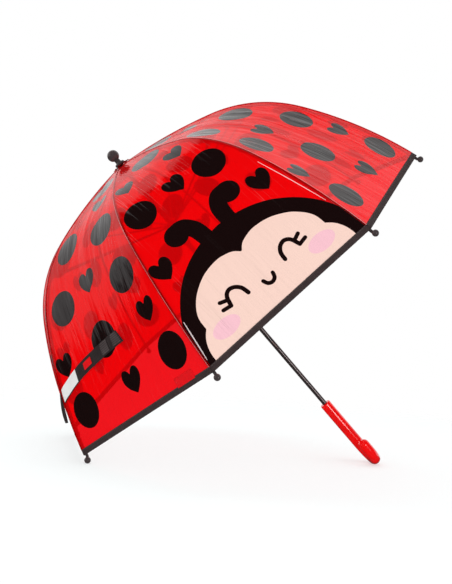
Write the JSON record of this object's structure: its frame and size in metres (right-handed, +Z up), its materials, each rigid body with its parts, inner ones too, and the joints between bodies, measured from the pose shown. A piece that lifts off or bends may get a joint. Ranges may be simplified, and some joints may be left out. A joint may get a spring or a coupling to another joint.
{
  "type": "children's umbrella",
  "caption": "Open dome umbrella for a child, with printed red film panels, a crook handle, folding ribs and stretchers, a sliding runner and a closing strap.",
  "frame": {"origin": "middle of the handle's straight grip, on the shaft's axis", "axes": "+Z up the shaft towards the ferrule, +X towards the hook's free arm, +Y completes a right-handed frame"},
  "size_m": [0.6714, 0.6714, 0.6345],
  "materials": {
    "shaft_paint": "satin",
    "rib_paint": "satin",
    "handle_red": "gloss",
    "tip_plastic": "satin",
    "hub_plastic": "satin",
    "spring_steel": "satin",
    "film_red": "gloss",
    "film_dark": "gloss",
    "ink_black": "gloss",
    "ink_cream": "gloss",
    "ink_pink": "gloss",
    "hem_tape": "matte",
    "webbing": "matte",
    "label_white": "satin",
    "patch_red": "satin"
  },
  "bodies": {
    "root": {"shaft": "shaft_paint", "handle": "handle_red", "ferrule": "tip_plastic", "rosette": "film_dark", "crown": "hub_plastic", "crown_wire": "spring_steel"},
    "runner": {"runner": "hub_plastic"},
    "top_catch": {"top_catch": "spring_steel"},
    "bottom_catch": {"bottom_catch": "spring_steel"},
    "rib_1": {"rib_1": "rib_paint", "rib_tip_1": "tip_plastic", "rib_clip_1": "hub_plastic"},
    "rib_2": {"rib_2": "rib_paint", "rib_tip_2": "tip_plastic", "rib_clip_2": "hub_plastic"},
    "rib_3": {"rib_3": "rib_paint", "rib_tip_3": "tip_plastic", "rib_clip_3": "hub_plastic"},
    "rib_4": {"rib_4": "rib_paint", "rib_tip_4": "tip_plastic", "rib_clip_4": "hub_plastic"},
    "rib_5": {"rib_5": "rib_paint", "rib_tip_5": "tip_plastic", "rib_clip_5": "hub_plastic"},
    "rib_6": {"rib_6": "rib_paint", "rib_tip_6": "tip_plastic", "rib_clip_6": "hub_plastic"},
    "rib_7": {"rib_7": "rib_paint", "rib_tip_7": "tip_plastic", "rib_clip_7": "hub_plastic"},
    "rib_8": {"rib_8": "rib_paint", "rib_tip_8": "tip_plastic", "rib_clip_8": "hub_plastic"},
    "stretcher_1": {"stretcher_1": "rib_paint"},
    "stretcher_2": {"stretcher_2": "rib_paint"},
    "stretcher_3": {"stretcher_3": "rib_paint"},
    "stretcher_4": {"stretcher_4": "rib_paint"},
    "stretcher_5": {"stretcher_5": "rib_paint"},
    "stretcher_6": {"stretcher_6": "rib_paint"},
    "stretcher_7": {"stretcher_7": "rib_paint"},
    "stretcher_8": {"stretcher_8": "rib_paint"},
    "half_1a": {"panel_1a": "film_red"},
    "half_1b": {"panel_1b": "film_red"},
    "half_2a": {"panel_2a": "film_red"},
    "half_2b": {"panel_2b": "film_red"},
    "half_3a": {"panel_3a": "film_red"},
    "half_3b": {"panel_3b": "film_red"},
    "half_4a": {"panel_4a": "film_red"},
    "half_4b": {"panel_4b": "film_red"},
    "half_5a": {"panel_5a": "film_red"},
    "half_5b": {"panel_5b": "film_red"},
    "half_6a": {"panel_6a": "film_red"},
    "half_6b": {"panel_6b": "film_red"},
    "half_7a": {"panel_7a": "film_red"},
    "half_7b": {"panel_7b": "film_red", "strap_tail": "webbing"},
    "half_8a": {"panel_8a": "film_red", "strap": "webbing", "strap_label": "label_white"},
    "half_8b": {"panel_8b": "film_red"}
  },
  "joints": [
    {"name": "runner_slide", "type": "slide", "parent": "root", "child": "runner", "axis": [0, 0, -1], "range_m": [0, 0.25709], "deforming": ["panel_1a", "panel_1b", "panel_2a", "panel_2b", "panel_3a", "panel_3b", "panel_4a", "panel_4b", "panel_5a", "panel_5b", "panel_6a", "panel_6b", "panel_7a", "panel_7b", "panel_8a", "panel_8b", "strap", "strap_label", "strap_tail", "top_catch", "bottom_catch"]},
    {"name": "rib_1_fold", "type": "hinge", "parent": "root", "child": "rib_1", "pos_m": [0.00761, -0.00247, 0.52568], "axis": [0.309, 0.9511, 0], "range_deg": [0, 50]},
    {"name": "rib_2_fold", "type": "hinge", "parent": "root", "child": "rib_2", "pos_m": [0.00713, 0.00363, 0.52568], "axis": [-0.454, 0.891, 0], "range_deg": [0, 50]},
    {"name": "rib_3_fold", "type": "hinge", "parent": "root", "child": "rib_3", "pos_m": [0.00247, 0.00761, 0.52568], "axis": [-0.9511, 0.309, 0], "range_deg": [0, 50]},
    {"name": "rib_4_fold", "type": "hinge", "parent": "root", "child": "rib_4", "pos_m": [-0.00363, 0.00713, 0.52568], "axis": [-0.891, -0.454, 0], "range_deg": [0, 50]},
    {"name": "rib_5_fold", "type": "hinge", "parent": "root", "child": "rib_5", "pos_m": [-0.00761, 0.00247, 0.52568], "axis": [-0.309, -0.9511, 0], "range_deg": [0, 50]},
    {"name": "rib_6_fold", "type": "hinge", "parent": "root", "child": "rib_6", "pos_m": [-0.00713, -0.00363, 0.52568], "axis": [0.454, -0.891, 0], "range_deg": [0, 50]},
    {"name": "rib_7_fold", "type": "hinge", "parent": "root", "child": "rib_7", "pos_m": [-0.00247, -0.00761, 0.52568], "axis": [0.9511, -0.309, 0], "range_deg": [0, 50]},
    {"name": "rib_8_fold", "type": "hinge", "parent": "root", "child": "rib_8", "pos_m": [0.00363, -0.00713, 0.52568], "axis": [0.891, 0.454, 0], "range_deg": [0, 50]},
    {"name": "stretcher_1_swing", "type": "hinge", "parent": "rib_1", "child": "stretcher_1", "pos_m": [0.1921, -0.06242, 0.46954], "axis": [-0.309, -0.9511, 0], "range_deg": [0, 100]},
    {"name": "stretcher_2_swing", "type": "hinge", "parent": "rib_2", "child": "stretcher_2", "pos_m": [0.17997, 0.0917, 0.46954], "axis": [0.454, -0.891, 0], "range_deg": [0, 100]},
    {"name": "stretcher_3_swing", "type": "hinge", "parent": "rib_3", "child": "stretcher_3", "pos_m": [0.06242, 0.1921, 0.46954], "axis": [0.9511, -0.309, 0], "range_deg": [0, 100]},
    {"name": "stretcher_4_swing", "type": "hinge", "parent": "rib_4", "child": "stretcher_4", "pos_m": [-0.0917, 0.17997, 0.46954], "axis": [0.891, 0.454, 0], "range_deg": [0, 100]},
    {"name": "stretcher_5_swing", "type": "hinge", "parent": "rib_5", "child": "stretcher_5", "pos_m": [-0.1921, 0.06242, 0.46954], "axis": [0.309, 0.9511, 0], "range_deg": [0, 100]},
    {"name": "stretcher_6_swing", "type": "hinge", "parent": "rib_6", "child": "stretcher_6", "pos_m": [-0.17997, -0.0917, 0.46954], "axis": [-0.454, 0.891, 0], "range_deg": [0, 100]},
    {"name": "stretcher_7_swing", "type": "hinge", "parent": "rib_7", "child": "stretcher_7", "pos_m": [-0.06242, -0.1921, 0.46954], "axis": [-0.9511, 0.309, 0], "range_deg": [0, 100]},
    {"name": "stretcher_8_swing", "type": "hinge", "parent": "rib_8", "child": "stretcher_8", "pos_m": [0.0917, -0.17997, 0.46954], "axis": [-0.891, -0.454, 0], "range_deg": [0, 100]},
    {"name": "panel_1a_fold", "type": "hinge", "parent": "rib_1", "child": "half_1a", "pos_m": [0.0081, -0.00096, 0.52568], "axis": [-0.7286, -0.6452, -0.2301], "range_deg": [0, 23.03]},
    {"name": "panel_1b_fold", "type": "hinge", "parent": "rib_2", "child": "half_1b", "pos_m": [0.00785, 0.00221, 0.52568], "axis": [0.8205, -0.5233, 0.2301], "range_deg": [0, 23.03]},
    {"name": "panel_2a_fold", "type": "hinge", "parent": "rib_2", "child": "half_2a", "pos_m": [0.00641, 0.00505, 0.52568], "axis": [-0.059, -0.9714, -0.2301], "range_deg": [0, 23.03]},
    {"name": "panel_2b_fold", "type": "hinge", "parent": "rib_3", "child": "half_2b", "pos_m": [0.00399, 0.00712, 0.52568], "axis": [0.9502, 0.2102, 0.2301], "range_deg": [0, 23.03]},
    {"name": "panel_3a_fold", "type": "hinge", "parent": "rib_3", "child": "half_3a", "pos_m": [0.00096, 0.0081, 0.52568], "axis": [0.6452, -0.7286, -0.2301], "range_deg": [0, 23.03]},
    {"name": "panel_3b_fold", "type": "hinge", "parent": "rib_4", "child": "half_3b", "pos_m": [-0.00221, 0.00785, 0.52568], "axis": [0.5233, 0.8205, 0.2301], "range_deg": [0, 23.03]},
    {"name": "panel_4a_fold", "type": "hinge", "parent": "rib_4", "child": "half_4a", "pos_m": [-0.00505, 0.00641, 0.52568], "axis": [0.9714, -0.059, -0.2301], "range_deg": [0, 23.03]},
    {"name": "panel_4b_fold", "type": "hinge", "parent": "rib_5", "child": "half_4b", "pos_m": [-0.00712, 0.00399, 0.52568], "axis": [-0.2102, 0.9502, 0.2301], "range_deg": [0, 23.03]},
    {"name": "panel_5a_fold", "type": "hinge", "parent": "rib_5", "child": "half_5a", "pos_m": [-0.0081, 0.00096, 0.52568], "axis": [0.7286, 0.6452, -0.2301], "range_deg": [0, 23.03]},
    {"name": "panel_5b_fold", "type": "hinge", "parent": "rib_6", "child": "half_5b", "pos_m": [-0.00785, -0.00221, 0.52568], "axis": [-0.8205, 0.5233, 0.2301], "range_deg": [0, 23.03]},
    {"name": "panel_6a_fold", "type": "hinge", "parent": "rib_6", "child": "half_6a", "pos_m": [-0.00641, -0.00505, 0.52568], "axis": [0.059, 0.9714, -0.2301], "range_deg": [0, 23.03]},
    {"name": "panel_6b_fold", "type": "hinge", "parent": "rib_7", "child": "half_6b", "pos_m": [-0.00399, -0.00712, 0.52568], "axis": [-0.9502, -0.2102, 0.2301], "range_deg": [0, 23.03]},
    {"name": "panel_7a_fold", "type": "hinge", "parent": "rib_7", "child": "half_7a", "pos_m": [-0.00096, -0.0081, 0.52568], "axis": [-0.6452, 0.7286, -0.2301], "range_deg": [0, 23.03]},
    {"name": "panel_7b_fold", "type": "hinge", "parent": "rib_8", "child": "half_7b", "pos_m": [0.00221, -0.00785, 0.52568], "axis": [-0.5233, -0.8205, 0.2301], "range_deg": [0, 23.03]},
    {"name": "panel_8a_fold", "type": "hinge", "parent": "rib_8", "child": "half_8a", "pos_m": [0.00505, -0.00641, 0.52568], "axis": [-0.9714, 0.059, -0.2301], "range_deg": [0, 23.03]},
    {"name": "panel_8b_fold", "type": "hinge", "parent": "rib_1", "child": "half_8b", "pos_m": [0.00712, -0.00399, 0.52568], "axis": [0.2102, -0.9502, 0.2301], "range_deg": [0, 23.03]},
    {"name": "top_catch_press", "type": "hinge", "parent": "root", "child": "top_catch", "pos_m": [0.0008, 0, 0.3474], "axis": [0, -1, 0], "range_deg": [0, 5.5], "stiffness_Nm_per_rad": 0.02},
    {"name": "bottom_catch_press", "type": "hinge", "parent": "root", "child": "bottom_catch", "pos_m": [0.0008, 0, 0.18731], "axis": [0, 1, 0], "range_deg": [0, 5.5], "stiffness_Nm_per_rad": 0.02}
  ],
  "couplings": [
    {"joint": "rib_1_fold", "follows": "runner_slide", "rad_per_m": 3.3944},
    {"joint": "rib_2_fold", "follows": "runner_slide", "rad_per_m": 3.3944},
    {"joint": "rib_3_fold", "follows": "runner_slide", "rad_per_m": 3.3944},
    {"joint": "rib_4_fold", "follows": "runner_slide", "rad_per_m": 3.3944},
    {"joint": "rib_5_fold", "follows": "runner_slide", "rad_per_m": 3.3944},
    {"joint": "rib_6_fold", "follows": "runner_slide", "rad_per_m": 3.3944},
    {"joint": "rib_7_fold", "follows": "runner_slide", "rad_per_m": 3.3944},
    {"joint": "rib_8_fold", "follows": "runner_slide", "rad_per_m": 3.3944},
    {"joint": "stretcher_1_swing", "follows": "runner_slide", "rad_per_m": 6.7887},
    {"joint": "stretcher_2_swing", "follows": "runner_slide", "rad_per_m": 6.7887},
    {"joint": "stretcher_3_swing", "follows": "runner_slide", "rad_per_m": 6.7887},
    {"joint": "stretcher_4_swing", "follows": "runner_slide", "rad_per_m": 6.7887},
    {"joint": "stretcher_5_swing", "follows": "runner_slide", "rad_per_m": 6.7887},
    {"joint": "stretcher_6_swing", "follows": "runner_slide", "rad_per_m": 6.7887},
    {"joint": "stretcher_7_swing", "follows": "runner_slide", "rad_per_m": 6.7887},
    {"joint": "stretcher_8_swing", "follows": "runner_slide", "rad_per_m": 6.7887},
    {"joint": "panel_1a_fold", "follows": "runner_slide", "rad_per_m": 1.5632},
    {"joint": "panel_1b_fold", "follows": "runner_slide", "rad_per_m": 1.5632},
    {"joint": "panel_2a_fold", "follows": "runner_slide", "rad_per_m": 1.5632},
    {"joint": "panel_2b_fold", "follows": "runner_slide", "rad_per_m": 1.5632},
    {"joint": "panel_3a_fold", "follows": "runner_slide", "rad_per_m": 1.5632},
    {"joint": "panel_3b_fold", "follows": "runner_slide", "rad_per_m": 1.5632},
    {"joint": "panel_4a_fold", "follows": "runner_slide", "rad_per_m": 1.5632},
    {"joint": "panel_4b_fold", "follows": "runner_slide", "rad_per_m": 1.5632},
    {"joint": "panel_5a_fold", "follows": "runner_slide", "rad_per_m": 1.5632},
    {"joint": "panel_5b_fold", "follows": "runner_slide", "rad_per_m": 1.5632},
    {"joint": "panel_6a_fold", "follows": "runner_slide", "rad_per_m": 1.5632},
    {"joint": "panel_6b_fold", "follows": "runner_slide", "rad_per_m": 1.5632},
    {"joint": "panel_7a_fold", "follows": "runner_slide", "rad_per_m": 1.5632},
    {"joint": "panel_7b_fold", "follows": "runner_slide", "rad_per_m": 1.5632},
    {"joint": "panel_8a_fold", "follows": "runner_slide", "rad_per_m": 1.5632},
    {"joint": "panel_8b_fold", "follows": "runner_slide", "rad_per_m": 1.5632}
  ]
}
